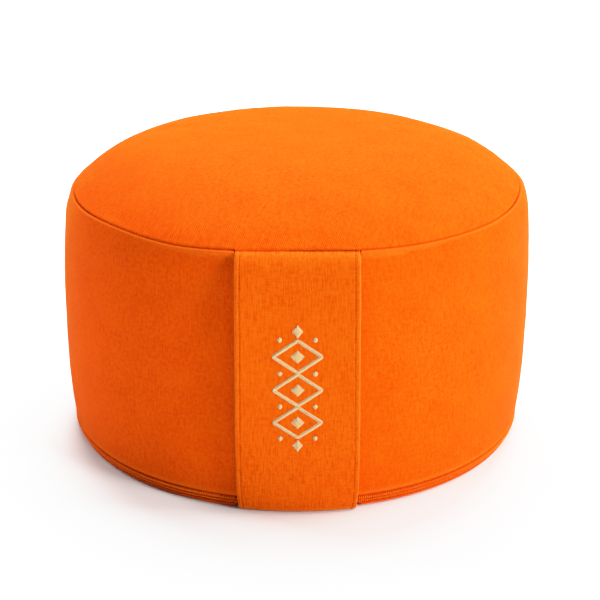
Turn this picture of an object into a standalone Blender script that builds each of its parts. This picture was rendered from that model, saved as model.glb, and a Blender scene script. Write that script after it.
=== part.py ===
"""Round filled meditation cushion (zafu) with a carry strap and a zip round its base.

Metres, +Z up. The origin is the centre of the flat base, on the surface the cushion stands on.
The strap is at the front, towards -Y.

Pieces: cushion_body (the filled cover: crowned top, side band, flat base), base_zip (the coil zip
between the band's folded lower edge and the base panel's folded edge) and carry_strap (a flat doubled
band of cloth, sewn into the top seam and under the base, standing a little off the side band).
"""

import math

import bmesh
import bpy
from mathutils import Vector

MM = 0.001

# ---- Cushion: driving dimensions ------------------------------------------------------------------
WIDEST_RADIUS = 165.0 * MM     # half of the 330 mm the cushion measures across
SEAM_RADIUS = 158.0 * MM       # where the top panel and the side band are sewn together
SEAM_HEIGHT = 174.0 * MM
SEAM_DEPTH = 1.2 * MM          # how far the stitching draws the cloth in
SEAM_WIDTH = 2.4 * MM          # reach of that crease on each side
CROWN_RISE = 34.0 * MM         # the filling lifts the top panel this far above its seam
CROWN_FULLNESS = 4.8           # exponent of the crown: higher is flatter on top, rounder at the rim
SEAM_TILT = 0.0032             # the top seam lies a little higher on the right
LEAN = 0.0078                  # the filled cover leans a little to the right above the zip
CROWN_RINGS = (0.955, 0.91, 0.85, 0.77, 0.66, 0.52, 0.35, 0.17)  # shares of the seam's radius
SEGMENTS = 80                  # facets round the cushion and the zip
SMOOTH_ANGLE = math.radians(40.0)

# The side band between the zip and the top seam: its bulge.
# Columns: share of the band's height, draw-in from the widest radius (mm).
BAND_SHAPE = (
    (0.00, 2.7),
    (0.10, 1.3),
    (0.22, 0.2),
    (0.36, 0.0),
    (0.52, 0.1),
    (0.68, 0.5),
    (0.82, 1.8),
    (0.92, 3.4),
    (1.00, 7.0),
)
BAND_STEPS = 15

# Unevenness of the filled cover. Columns: waves round the cushion, phase (degrees), swell (mm), seam (mm).
UNEVENNESS = (
    (2, 35.0, 0.35, 0.30),
    (3, 140.0, 0.30, 0.35),
    (5, 80.0, 0.20, 0.25),
    (9, 10.0, 0.12, 0.20),
)

# ---- Base: the folded edges and the zip between them ------------------------------------------------
BASE_RADIUS = 158.7 * MM       # outside of the base panel's folded edge
BASE_EDGE_HEIGHT = 3.2 * MM    # thickness of that folded edge
BASE_EDGE_ROUND = 0.9 * MM
LIP_HEIGHT = 9.2 * MM          # underside of the side band's folded lower edge
LIP_ROUND = 0.8 * MM
ZIP_SEAT_RADIUS = 155.3 * MM   # the cover behind the zip
PIECE_GAP = 0.3 * MM           # between pieces that touch in the real object
ZIP_INNER_RADIUS = ZIP_SEAT_RADIUS + PIECE_GAP
ZIP_UPPER_CREST = 161.1 * MM   # crest of the upper row of coil
ZIP_LOWER_CREST = 159.9 * MM   # crest of the lower row
ZIP_ROW_HEIGHT = 2.7 * MM      # height of one row of coil
ZIP_ROW_DEPTH = 1.3 * MM       # how far a row stands out of the tape
ZIP_ROW_STATIONS = (0.18, 0.5, 0.82, 1.0)  # shares of a row's height, up its rounded front

# ---- Carry strap --------------------------------------------------------------------------------------
STRAP_THICKNESS = 2.6 * MM     # two layers of cloth with their turned-in edges
STRAP_CENTRE_X = 1.6 * MM      # sewn on a little right of centre
STRAP_COLUMNS = 8              # facets across the strap
SEAM_FLAT = 153.6 * MM         # the strap pulls the top seam straight, this far from the axis
SEAM_FLAT_FADE = 55.0 * MM     # the side band is round again this far below the seam
CROWN_FLAT_FADE = 4            # exponent: how soon the crown is round again inside the seam
SLOT_ROWS = 4                  # stations of the strap that lie inside the top seam

# The strap's middle line from the top seam to its sewn end under the base.
# Columns: distance in front of the axis (mm), height (mm), half width (mm),
# roundness (0 is flat across, 1 follows the cushion's own round).
STRAP_ROUTE = (
    (149.2, 172.8, 37.8, 0.00),
    (152.0, 172.5, 37.8, 0.00),
    (154.6, 171.8, 37.8, 0.00),
    (157.4, 170.4, 37.8, 0.00),
    (161.0, 167.0, 37.9, 0.00),
    (164.2, 161.5, 37.9, 0.00),
    (167.2, 152.5, 38.0, 0.00),
    (169.6, 140.0, 38.1, 0.00),
    (170.8, 124.0, 38.1, 0.02),
    (171.2, 106.0, 38.2, 0.05),
    (171.2, 88.0, 38.4, 0.10),
    (170.8, 70.0, 38.6, 0.20),
    (169.9, 52.0, 38.8, 0.40),
    (168.6, 36.0, 38.9, 0.62),
    (167.2, 22.0, 38.8, 0.80),
    (165.8, 12.0, 38.5, 0.92),
    (164.3, 5.6, 38.1, 1.00),
    (162.7, 2.6, 37.8, 1.00),
    (160.2, 1.3, 37.6, 1.00),
    (155.0, 1.3, 37.5, 0.80),
    (148.0, 1.3, 37.5, 0.40),
    (141.0, 1.3, 37.5, 0.00),
)
TAIL_RECESS_SIDE = 1.2 * MM    # room beside the strap's sewn end in the underside of the base
TAIL_RECESS_BACK = 138.0 * MM  # the recess ends this far in front of the axis
TAIL_RECESS_FRONT = 180.0 * MM

COVER_CLOTH = ("orange_cotton_twill", (0.93, 0.13, 0.004), 0.85)
STRAP_CLOTH = ("orange_cotton_twill_strap", (0.90, 0.12, 0.004), 0.82)
ZIP_COIL = ("orange_polyester_coil", (0.80, 0.08, 0.004), 0.55)


def clear_scene():
    for obj in list(bpy.data.objects):
        bpy.data.objects.remove(obj, do_unlink=True)


def make_material(name, colour, roughness):
    material = bpy.data.materials.new(name)
    material.use_nodes = True
    shader = material.node_tree.nodes["Principled BSDF"]
    shader.inputs["Base Color"].default_value = (*colour, 1.0)
    shader.inputs["Roughness"].default_value = roughness
    return material


def add_object(name, mesh, material):
    obj = bpy.data.objects.new(name, mesh)
    bpy.context.scene.collection.objects.link(obj)
    mesh.materials.append(material)
    return obj


def smoothstep(t):
    t = min(max(t, 0.0), 1.0)
    return t * t * (3.0 - 2.0 * t)


def catmull_rom(a, b, c, d, t):
    return 0.5 * (2 * b + (c - a) * t + (2 * a - 5 * b + 4 * c - d) * t**2 + (3 * b - a - 3 * c + d) * t**3)


def along_table(rows, x):
    """The table's other columns at x in its first column, on a smooth curve through its rows."""
    last = len(rows) - 2
    i = 0
    while i < last and x > rows[i + 1][0]:
        i += 1
    before = rows[max(i - 1, 0)]
    after = rows[min(i + 2, len(rows) - 1)]
    t = (x - rows[i][0]) / (rows[i + 1][0] - rows[i][0])
    return [catmull_rom(before[k], rows[i][k], rows[i + 1][k], after[k], t) for k in range(1, len(rows[0]))]


# ---- Cushion body -------------------------------------------------------------------------------------
def waves(angle, column):
    return sum(row[column] * math.cos(row[0] * angle + math.radians(row[1])) for row in UNEVENNESS) * MM


def band_radius(share):
    return WIDEST_RADIUS - along_table(BAND_SHAPE, share)[0] * MM


def crown_height(radius):
    return SEAM_HEIGHT + CROWN_RISE * (1.0 - (radius / SEAM_RADIUS) ** CROWN_FULLNESS)


def seam_straightening(angle):
    """Share by which the strap pulls the round top seam in to a straight line at the front."""
    front = -math.sin(angle)
    if front <= 0.0:
        return 1.0
    return min(1.0, SEAM_FLAT / (SEAM_RADIUS * front))


def cover_point(angle, radius, height):
    """A point of the filled cover, with its lean, its uneven fill and the straight seam under the strap."""
    up = max(0.0, (height - LIP_HEIGHT) / (SEAM_HEIGHT - LIP_HEIGHT))
    rim = smoothstep((height - (SEAM_HEIGHT - SEAM_FLAT_FADE)) / SEAM_FLAT_FADE)
    if height > SEAM_HEIGHT:
        up = 1.0
        rim = (radius / SEAM_RADIUS) ** CROWN_FLAT_FADE
    swell = waves(angle, 2) * math.sin(math.pi * min(up, 1.0)) + waves(angle, 3) * rim * 0.5
    pulled = 1.0 - (1.0 - seam_straightening(angle)) * rim
    flat_radius = (radius + swell) * pulled
    x = flat_radius * math.cos(angle)
    y = flat_radius * math.sin(angle)
    z = height + up * (SEAM_TILT * x + waves(angle + 1.0, 3) * rim)
    return Vector((x + LEAN * max(0.0, height - LIP_HEIGHT), y, z))


def cushion_profile():
    """(radius, height) from the rim of the flat base, round the zip's seat, up the band and over the crown."""
    edge = BASE_EDGE_ROUND
    rows = [
        (BASE_RADIUS - edge, 0.0),
        (BASE_RADIUS, edge),
        (BASE_RADIUS, BASE_EDGE_HEIGHT - edge),
        (BASE_RADIUS - edge, BASE_EDGE_HEIGHT),
        (ZIP_SEAT_RADIUS, BASE_EDGE_HEIGHT),
        (ZIP_SEAT_RADIUS, LIP_HEIGHT),
        (band_radius(0.0) - LIP_ROUND, LIP_HEIGHT),
    ]
    bottom = LIP_HEIGHT + LIP_ROUND
    top = SEAM_HEIGHT - SEAM_WIDTH
    for i in range(BAND_STEPS + 1):
        height = bottom + (top - bottom) * i / BAND_STEPS
        rows.append((band_radius((height - bottom) / (SEAM_HEIGHT - bottom)), height))
    rows.append((SEAM_RADIUS - SEAM_DEPTH, SEAM_HEIGHT))
    crown_radii = [SEAM_RADIUS - SEAM_WIDTH] + [SEAM_RADIUS * share for share in CROWN_RINGS]
    return rows + [(radius, crown_height(radius)) for radius in crown_radii]


def bridge_rings(bm, rings):
    for lower, upper in zip(rings, rings[1:]):
        for i in range(SEGMENTS):
            j = (i + 1) % SEGMENTS
            bm.faces.new((lower[i], lower[j], upper[j], upper[i]))


def ring_angles():
    return [2.0 * math.pi * i / SEGMENTS for i in range(SEGMENTS)]


def make_cushion_body(material):
    bm = bmesh.new()
    rings = [[bm.verts.new(cover_point(a, r, h)) for a in ring_angles()] for r, h in cushion_profile()]
    bridge_rings(bm, rings)
    bm.faces.new(reversed(rings[0]))
    top = bm.verts.new(cover_point(0.0, 0.0, crown_height(0.0)))
    last = rings[-1]
    for i in range(SEGMENTS):
        bm.faces.new((last[i], last[(i + 1) % SEGMENTS], top))
    bmesh.ops.recalc_face_normals(bm, faces=bm.faces[:])
    mesh = bpy.data.meshes.new("cushion_body")
    bm.to_mesh(mesh)
    bm.free()
    mesh.shade_smooth()
    mesh.set_sharp_from_angle(angle=SMOOTH_ANGLE)
    return add_object("cushion_body", mesh, material)


# ---- Zip ------------------------------------------------------------------------------------------------
def zip_profile():
    """Closed (radius, height) section: flat behind, two rounded rows of coil in front."""
    low = BASE_EDGE_HEIGHT + PIECE_GAP
    rows = [(ZIP_INNER_RADIUS, low), (ZIP_LOWER_CREST - ZIP_ROW_DEPTH, low)]
    for row, crest in enumerate((ZIP_LOWER_CREST, ZIP_UPPER_CREST)):
        start = low + row * ZIP_ROW_HEIGHT
        for share in ZIP_ROW_STATIONS:
            rise = math.sqrt(max(0.0, 1.0 - (2.0 * share - 1.0) ** 2))
            rows.append((crest - ZIP_ROW_DEPTH * (1.0 - rise), start + share * ZIP_ROW_HEIGHT))
    rows.append((ZIP_INNER_RADIUS, low + 2 * ZIP_ROW_HEIGHT))
    return rows


def make_base_zip(material):
    bm = bmesh.new()
    rings = [
        [bm.verts.new((r * math.cos(a), r * math.sin(a), h)) for a in ring_angles()] for r, h in zip_profile()
    ]
    bridge_rings(bm, rings + rings[:1])
    bmesh.ops.recalc_face_normals(bm, faces=bm.faces[:])
    mesh = bpy.data.meshes.new("base_zip")
    bm.to_mesh(mesh)
    bm.free()
    mesh.shade_smooth()
    mesh.set_sharp_from_angle(angle=SMOOTH_ANGLE)
    return add_object("base_zip", mesh, material)


# ---- Carry strap ------------------------------------------------------------------------------------------
def strap_row(station, side_room):
    """The points across the strap at one station of its route."""
    forward, height, half_width, roundness = station
    half = half_width * MM + side_room
    points = []
    for i in range(STRAP_COLUMNS + 1):
        x = half * (2.0 * i / STRAP_COLUMNS - 1.0)
        falls_back = WIDEST_RADIUS - math.sqrt(WIDEST_RADIUS**2 - x**2)
        points.append(Vector((STRAP_CENTRE_X + x, -forward * MM + roundness * falls_back, height * MM)))
    return points


def sheet_object(name, rows, thickness, material):
    """A sheet of cloth through rows of points, given its thickness half to each side."""
    bm = bmesh.new()
    grid = [[bm.verts.new(p) for p in row] for row in rows]
    for upper, lower in zip(grid, grid[1:]):
        for i in range(STRAP_COLUMNS):
            bm.faces.new((upper[i], lower[i], lower[i + 1], upper[i + 1]))
    mesh = bpy.data.meshes.new(name)
    bm.to_mesh(mesh)
    bm.free()
    mesh.shade_smooth()
    obj = add_object(name, mesh, material)
    solid = obj.modifiers.new("thickness", "SOLIDIFY")
    solid.thickness = thickness
    solid.offset = 0.0
    solid.use_even_offset = True
    return obj


def make_carry_strap(material):
    rows = [strap_row(station, 0.0) for station in STRAP_ROUTE]
    return sheet_object("carry_strap", rows, STRAP_THICKNESS, material)


# ---- Where the strap enters the cover -----------------------------------------------------------------------
def cut(target, cutter):
    cutter.hide_render = True
    cutter.display_type = "WIRE"
    boolean = target.modifiers.new(cutter.name, "BOOLEAN")
    boolean.operation = "DIFFERENCE"
    boolean.solver = "EXACT"
    boolean.object = cutter


def make_seam_slot(material):
    """The slit in the top seam that holds the strap's upper end, the piece gap wider all round."""
    rows = [strap_row(station, PIECE_GAP) for station in STRAP_ROUTE[: SLOT_ROWS + 1]]
    inward = (rows[0][0] - rows[1][0]).normalized() * PIECE_GAP
    rows[0] = [p + inward for p in rows[0]]
    return sheet_object("seam_slot", rows, STRAP_THICKNESS + 2 * PIECE_GAP, material)


def make_tail_recess(material):
    """The strap's sewn end is pressed up into the filled base, so both rest flat."""
    half = max(row[2] for row in STRAP_ROUTE) * MM + TAIL_RECESS_SIDE
    length = TAIL_RECESS_FRONT - TAIL_RECESS_BACK
    height = STRAP_THICKNESS + PIECE_GAP
    bm = bmesh.new()
    bmesh.ops.create_cube(bm, size=1.0)
    for v in bm.verts:
        v.co.x = STRAP_CENTRE_X + v.co.x * 2.0 * half
        v.co.y = -TAIL_RECESS_BACK - length * (0.5 - v.co.y)
        v.co.z = height if v.co.z > 0.0 else -height
    mesh = bpy.data.meshes.new("tail_recess")
    bm.to_mesh(mesh)
    bm.free()
    return add_object("tail_recess", mesh, material)


def main():
    clear_scene()
    cover = make_material(*COVER_CLOTH)
    strap = make_material(*STRAP_CLOTH)
    coil = make_material(*ZIP_COIL)
    body = make_cushion_body(cover)
    make_base_zip(coil)
    make_carry_strap(strap)
    cut(body, make_seam_slot(cover))
    cut(body, make_tail_recess(cover))


main()
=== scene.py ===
"""Looks of a round filled meditation cushion (zafu) in orange cotton twill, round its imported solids.

Metres, +Z up, in the frame's own axes: the origin is the centre of the flat base, on the surface that the
cushion stands on, and the carry strap is at the front, towards -Y. Sizes are in millimetres, and MM turns
them to metres where a mesh is made.

Pieces: filled_cover (crowned top panel, side band and base panel, swollen by its filling), carry_band (the
doubled strap), strap_topstitching, strap_ornament (satin stitch), zip_tape and zip_coil.
"""

import math
from collections import namedtuple
from functools import partial

import bmesh
import bpy
import numpy as np
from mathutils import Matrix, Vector, kdtree, noise


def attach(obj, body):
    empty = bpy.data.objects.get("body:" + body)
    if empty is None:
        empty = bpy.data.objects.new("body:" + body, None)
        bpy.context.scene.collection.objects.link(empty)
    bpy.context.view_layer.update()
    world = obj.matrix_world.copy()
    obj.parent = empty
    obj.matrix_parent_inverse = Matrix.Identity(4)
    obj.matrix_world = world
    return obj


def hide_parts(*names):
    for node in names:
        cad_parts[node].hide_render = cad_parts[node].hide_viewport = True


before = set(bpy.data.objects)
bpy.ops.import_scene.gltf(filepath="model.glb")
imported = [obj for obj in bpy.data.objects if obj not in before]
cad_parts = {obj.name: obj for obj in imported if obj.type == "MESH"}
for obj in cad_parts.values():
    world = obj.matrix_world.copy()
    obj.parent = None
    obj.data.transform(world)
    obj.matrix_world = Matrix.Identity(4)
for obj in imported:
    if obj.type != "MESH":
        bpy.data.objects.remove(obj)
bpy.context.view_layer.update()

MM = 0.001
UP = Vector((0.0, 0.0, 1.0))
WAVE_PERIOD = math.tau / 20.0  # a wave texture of scale 1 repeats after this length

# ---- Cushion: the driving dimensions of its solid ----
WIDEST_RADIUS = 165.0
SEAM_RADIUS = 158.0      # where the top panel and the side band are sewn together
SEAM_HEIGHT = 174.0
CROWN_RISE = 34.0        # the filling lifts the top panel this far above its seam
CROWN_FULLNESS = 4.8     # exponent of the crown: higher is flatter on top, rounder at the rim
CROWN_FRONT_EASE = 1.2   # taken off that exponent at the front, where the top runs flatter into its seam
SEAM_TILT = 0.0032       # the top seam lies a little higher on the right
LEAN = 0.0078            # the filled cover leans a little to the right above the zip
SEAM_FLAT = 153.6        # the strap pulls the top seam straight, this far from the axis
SEAM_FLAT_FADE = 55.0    # the side band is round again this far below the seam
CROWN_FLAT_FADE = 4      # exponent: how soon the crown is round again inside the seam

# Bulge of the side band. Columns: share of its height, draw-in from the widest radius.
BAND_SHAPE = (
    (0.00, 2.7),
    (0.10, 1.3),
    (0.22, 0.2),
    (0.36, 0.0),
    (0.52, 0.1),
    (0.68, 0.5),
    (0.82, 1.8),
    (0.92, 3.4),
    (1.00, 7.0),
)
# Unevenness of the filled cover. Columns: waves round the cushion, phase (degrees), swell, seam.
UNEVENNESS = (
    (2, 35.0, 0.35, 0.30),
    (3, 140.0, 0.30, 0.35),
    (5, 80.0, 0.20, 0.25),
    (9, 10.0, 0.12, 0.20),
)

BASE_RADIUS = 160.0      # outside of the base panel's folded edge, pressed out by the filling
BASE_EDGE_HEIGHT = 3.2
BASE_EDGE_ROUND = 0.9
BASE_EDGE_LIFT = 0.8     # the filled base rounds up off the floor at its rim
LIP_HEIGHT = 9.2         # underside of the side band's folded lower edge
LIP_ROUND = 0.9
BAND_BOTTOM = LIP_HEIGHT + LIP_ROUND
ZIP_SEAT_RADIUS = 155.3  # the cover behind the zip
PIECE_GAP = 0.3

# ---- Cushion: what the cloth adds ----
SEGMENTS = 512           # columns of the cover's mesh; four times the rows of a panel's middle grid
FRONT = math.radians(-90.0)
CORNER_ANGLE = math.radians(13.9)   # the strap's side edges, from the front
CORNER_SPREAD = math.radians(2.5)   # the mesh is finer this near to them
CORNER_FINENESS = 3.5
BASE_DISC = 150.0        # radius of the middle grid of the base panel
CROWN_DISC = 112.0       # and of the top panel
FAR_FROM_SEAM = 99.0     # where the top seam changes nothing
PANEL_STEP = 2.4         # between the mesh rings of the base panel
BAND_STEP = 2.5
CROWN_STEP = 2.2
BAND_FIRST_STEPS = (0.4, 0.9, 1.5, 2.3, 3.4, 4.8)  # above the side band's folded lower edge
BAND_EVEN_FROM = 15.0    # the side band's even steps go up from here
SEAM_STEPS = (0.25, 0.55, 0.95, 1.5, 2.3, 3.4, 4.8, 6.5, 8.6)  # mesh rings beside the top seam
CREASE_DEPTH = 2.2       # how far the stitching draws the two folds in
CREASE_WIDTH = 0.62
FOLD_RISE = 0.18         # the turned-in allowance makes a low ridge beside the seam
FOLD_PLACE = 2.1
FOLD_WIDTH = 1.3
# At the two sides the seam lies further in, up over the shoulder.
# Rows: right, left. Columns: how far (mm), over how wide a part of the round, extra fill of the shoulder.
SEAM_SLIDES = ((5.7, math.radians(23.0), 1.0), (3.2, math.radians(35.0), 0.2))
SLIDE_WIDTH = 17.0       # the cloth within about this distance of the seam goes with it
SHOULDER_ROUNDING = 0.3
SHOULDER_WIDTH = 8.0
SEAM_DROP = 1.3          # each side of the strap its pull keeps the seam a little lower
SEAM_DROP_ANGLE = math.radians(28.0)
SEAM_DROP_SPREAD = math.radians(13.0)
SEAM_DROP_WIDTH = 4.6
ALLOWANCE_REACH = 6.2    # the turned-in allowance of the band shows as a low step, most beside the strap
ALLOWANCE_LEAST = 2.0
ALLOWANCE_FADE = 100.0
ALLOWANCE_RISE = 0.35
ALLOWANCE_WAVER = 0.25   # share by which its width varies, over about the next length
ALLOWANCE_WAVER_LENGTH = 11.0
GATHER_RISE = 0.16       # small gathers along the seam
GATHER_LENGTH = 6.5
GATHER_REACH = 7.0
LUMP_RISE = 0.20         # the husks of the filling show faintly
LUMP_SIZE = 17.0
LOOSE_FROM_BASE = 30.0   # the unevenness of the filling fades in over these distances
LOOSE_FROM_SEAM = 16.0
LOOSE_FROM_STRAP = 14.0
# Lighter cloth, 0 to 1, on each fold, worn and partly a painted highlight; and the darkness of the sewn
# crease: its thread and needle holes, and partly painted shade of the crease.
SEAM_FOLD_WEAR_AND_HIGHLIGHT = {"band": 0.5, "crown": 0.1}
ALLOWANCE_WEAR_AND_HIGHLIGHT = 0.42
LIP_WEAR_AND_HIGHLIGHT = 0.5
CREASE_THREAD_AND_SHADE = 0.55
PANEL_TURN = math.radians(21.0)

# Small folds that run out of the strap's sewn corners, on the side band.
# Columns: from (mm beyond the strap's edge, mm below the seam), to (the same two), width, height.
CORNER_FOLDS = (
    (0.4, 2.4, 19.0, 1.4, 1.0, 0.60),
    (0.4, 4.6, 15.0, 3.4, 0.9, -0.70),
    (0.6, 6.4, 13.0, 6.2, 1.0, 0.55),
    (0.8, 8.6, 11.0, 10.2, 1.2, -0.45),
    (1.5, 11.0, 9.0, 16.0, 1.6, 0.25),
    (3.0, 23.0, 14.0, 20.0, 1.3, 0.22),
)

# ---- Cushion: its filling, as simulated ----
START_SHARE = 0.99       # the form starts this much smaller, because the pressure swells it
FORM_COLUMNS = 120
FORM_STEP = 6.0
FORM_HELD = 14.0         # the zip holds the form still, less and less over this height
HUSK_PATCH = 38.0        # size of the places where the husks are packed more or less
HUSK_PACKING = 0.72      # share of the pressure there on average, and how far it varies
HUSK_VARIATION = 0.9
VOXEL = 5.5
PRESSURE = 4.0
LAST_FRAME = 20
MOST_SWELL = 12.0        # cap on how far a point of the form may move
MOST_CHANGE = 0.9        # and on how far its uneven part may take the cover from its fitted shape
NEAREST_POINTS = 8
SECTION_BINS = 48

# ---- Carry strap ----
STRAP_CENTRE_X = 1.6
# The strap's middle line, from inside the top seam to its sewn end under the base.
# Columns: distance in front of the axis, height, half width, roundness (1 follows the cushion's round).
STRAP_ROUTE = (
    (149.2, 172.8, 37.8, 0.00),
    (152.0, 172.5, 37.8, 0.00),
    (154.6, 171.8, 37.8, 0.00),
    (157.4, 170.4, 37.8, 0.00),
    (161.0, 167.0, 37.9, 0.00),
    (164.2, 161.5, 37.9, 0.00),
    (167.2, 152.5, 38.0, 0.00),
    (169.6, 140.0, 38.1, 0.00),
    (170.8, 124.0, 38.1, 0.02),
    (171.2, 106.0, 38.2, 0.05),
    (171.2, 88.0, 38.4, 0.10),
    (170.8, 70.0, 38.6, 0.20),
    (169.9, 52.0, 38.8, 0.40),
    (168.6, 36.0, 38.9, 0.62),
    (167.2, 22.0, 38.8, 0.80),
    (165.8, 12.0, 38.5, 0.92),
    (164.3, 5.6, 38.1, 1.00),
    (162.7, 2.6, 37.8, 1.00),
    (160.2, 1.3, 37.6, 1.00),
    (155.0, 1.3, 37.5, 0.80),
    (148.0, 1.3, 37.5, 0.40),
    (141.0, 1.3, 37.5, 0.00),
)
STRAP_HALF_THICKNESS = 1.3
STRAP_MIDDLE = 1.18      # half thickness between the margins, where only two layers lie
MARGIN_WIDTH = 4.4       # the turned-in side edges make four layers here
MARGIN_EASE = 1.2
# Columns of the strap's mesh: distances from its side edge, then even steps to its middle.
STRAP_EDGE_COLUMNS = [0.0, 0.12, 0.35, 0.7, 1.15, 1.7, 2.2, 2.5, 2.75, 2.95]
STRAP_EDGE_COLUMNS += [3.1, 3.25, 3.45, 3.7, 4.0, 4.5, 5.1]
STRAP_MIDDLE_STEPS = 25
STRAP_STEP = 1.25        # between the mesh rings along it
STITCH_INSET = 3.1       # the topstitching's distance from the side edges
CHANNEL_DEPTH = 0.30     # the topstitching sinks into the cloth
CHANNEL_WIDTH = 0.55
STRAP_ROUGHNESS = 0.10   # slight waviness of the strap's face
STRAP_RIPPLES = ((9.0, 42.0, 3.7), (16.0, 15.0, 9.1))  # columns: length across, length along, seed
STRAP_EDGE_WAVER = 0.16
STRAP_EDGE_WAVE = 17.0
# Lighter cloth, 0 to 1, worn and partly a painted highlight where the fold catches light: the pressed
# edges, the margins, the fold at the foot, the top.
EDGE_WEAR_AND_HIGHLIGHT = 0.40
MARGIN_WEAR_AND_HIGHLIGHT = 0.06
FOOT_WEAR_AND_HIGHLIGHT = 0.8
TOP_WEAR_AND_HIGHLIGHT = 0.12
STRAP_FOOT_HEIGHT = 2.8  # the strap turns under the base here, and its fold is painted lighter: worn, and partly a painted highlight
SLOT_ROOM = 0.02         # between the strap's side edges and the opening in the seam
SLOT_SLOPE = 0.3
SLOT_CALM = 0.8          # the crease of the seam ends over this distance beside the strap
FOLD_STEP = 0.4          # the seam over the strap steps up here, where its allowance is pieced
FOLD_STEP_X = -5.0
SLOT_REACH = 12.0        # the side band leaves the strap's back this far below the seam
SLOT_JOIN = 7.0
TAIL_RECESS_SIDE = 1.0   # room beside the strap's sewn end in the underside of the base
TAIL_RECESS_BACK = 138.5
TAIL_RECESS_DEPTH = 2.9
RECESS_SLOPE = 2.6

# ---- Stitching ----
STITCH_PITCH = 2.2
STITCH_LENGTH = 1.5
THREAD_THICKNESS = 0.50
THREAD_RISE = 0.10       # the thread lies this far out of the channel that it sinks
STITCHED_FROM = 7.5      # along the strap, to just short of its sewn end
STITCHED_SHORT = 2.0
TAIL_STITCH_ROWS = (3.0, 9.0)   # rows of stitches across the strap's sewn end, from that end

# The ornament is a chain of open lozenges with a small one inside each, and dots between them: a plain
# old border of the kind found on woven bands.
ORNAMENT_FROM_TOP = 92.0   # along the strap, to the middle of the chain
LOZENGES = 3
LOZENGE_HEIGHT = 22.0
LOZENGE_WIDTH = 30.0
LOZENGE_STROKE = 2.2
HEART_HEIGHT = 8.0
HEART_WIDTH = 9.0
DOT_SIZE = 3.0
SATIN_SPACING = 0.46
SATIN_THREAD = 0.52

# ---- Cloth: the colours of the dye, and of its painted highlight and painted shade ----
# In the weave's valleys, of the thread, of raised threads, where worn and painted as a highlight on folds,
# in the sewn crease with its thread and painted shade; slubs.
COVER_TWILL = ("#D63E00", "#E64B01", "#EC5B05", "#EE6E16", "#A03200", 0.7)
STRAP_TWILL = ("#CC4100", "#DC5201", "#E66109", "#EA7A1E", "#A03200", 1.3)

# ---- Zip ----
COIL_PITCH = 1.35        # one turn of a medium coil
COIL_WIRE = 0.92
COIL_UPPER_CREST = 162.5
COIL_LOWER_CREST = 161.6
COIL_ROW_HEIGHT = 2.55
COIL_ROW_GAP = 0.5       # the groove over each row, where the tape lies in shade
COIL_DEPTH = 1.9
COIL_SLANT = math.radians(14.0)
TAPE_INNER_RADIUS = ZIP_SEAT_RADIUS + PIECE_GAP

# ---- Camera, fitted to the outline, the top seam and the zip line in the photograph ----
CAMERA_PLACE = (3.11, -933.61, 438.31)
CAMERA_PITCH = math.radians(69.20)  # from straight down
CAMERA_FOCUS_PX = 1370.3
PICTURE_PX = 600
SENSOR_WIDTH = 36.0

# ---- Studio light ----
AIM = Vector((0.0, 0.0, 0.1))
SURROUND = 0.09
BOX_DISTANCE = 3.0       # metres, from the cushion's middle
# Columns: azimuth (degrees from the front, to the right), elevation, size (m), watts.
SOFT_BOXES = {
    "key": (54.0, 19.0, 0.9, 76.0),
    "right": (82.0, 40.0, 1.2, 42.0),
    "top_back": (180.0, 62.0, 2.0, 155.0),
    "back_right": (115.0, 30.0, 1.2, 22.0),
    "back_left": (-115.0, 30.0, 1.2, 38.0),
    "overhead": (0.0, 84.0, 2.4, 18.0),
}

# A bright cloth stays just short of white, as on film: scene light, light shown.
TONE_WHITE = 2.0
TONE_CURVE = ((0.0, 0.0), (0.7, 0.7), (0.9, 0.865), (1.1, 0.94), (1.4, 0.98), (2.0, 1.0))


# ---- Helpers ----
def smoothstep(t):
    t = min(max(t, 0.0), 1.0)
    return t * t * (3.0 - 2.0 * t)


def hump(distance, width):
    return math.exp(-((distance / width) ** 2))


def uneven(x, y, z):
    """Smooth noise, about -1 to 1, that changes over steps of 1."""
    return noise.noise(Vector((x, y, z)))


def catmull_rom(a, b, c, d, t):
    return 0.5 * (2 * b + (c - a) * t + (2 * a - 5 * b + 4 * c - d) * t**2 + (3 * b - a - 3 * c + d) * t**3)


def along_table(rows, x):
    """The table's other columns at x in its first column, on a smooth curve through its rows."""
    last = len(rows) - 2
    i = 0
    while i < last and x > rows[i + 1][0]:
        i += 1
    before = rows[max(i - 1, 0)]
    after = rows[min(i + 2, len(rows) - 1)]
    t = (x - rows[i][0]) / (rows[i + 1][0] - rows[i][0])
    return [catmull_rom(before[k], rows[i][k], rows[i + 1][k], after[k], t) for k in range(1, len(rows[0]))]


def evenly(first, last, about):
    """Steps of about that length from first, which is left out, to last, which is kept."""
    count = max(1, round(abs(last - first) / about))
    return [first + (last - first) * (i + 1) / count for i in range(count)]


def arc(centre, radius, first, last, count):
    """Points round an arc, with its angles in degrees."""
    angles = [math.radians(first + (last - first) * i / count) for i in range(count + 1)]
    return [(centre[0] + radius * math.cos(a), centre[1] + radius * math.sin(a)) for a in angles]


def round_turn(count):
    return [math.tau * i / count for i in range(count)]


def linear(hex_colour):
    """A colour written as sRGB hex, as the linear RGBA that the shaders take."""
    parts = [int(hex_colour[i : i + 2], 16) / 255.0 for i in (1, 3, 5)]
    return tuple(c / 12.92 if c <= 0.04045 else ((c + 0.055) / 1.055) ** 2.4 for c in parts) + (1.0,)


def connect(node, links):
    """Sets a node's sockets, by name or number, to values, or links them to what feeds them."""
    for socket, value in links.items():
        if isinstance(value, bpy.types.Node):
            value = next(out for out in value.outputs if out.enabled)
        if isinstance(value, bpy.types.NodeSocket):
            node.id_data.links.new(value, node.inputs[socket])
        else:
            node.inputs[socket].default_value = value


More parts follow.
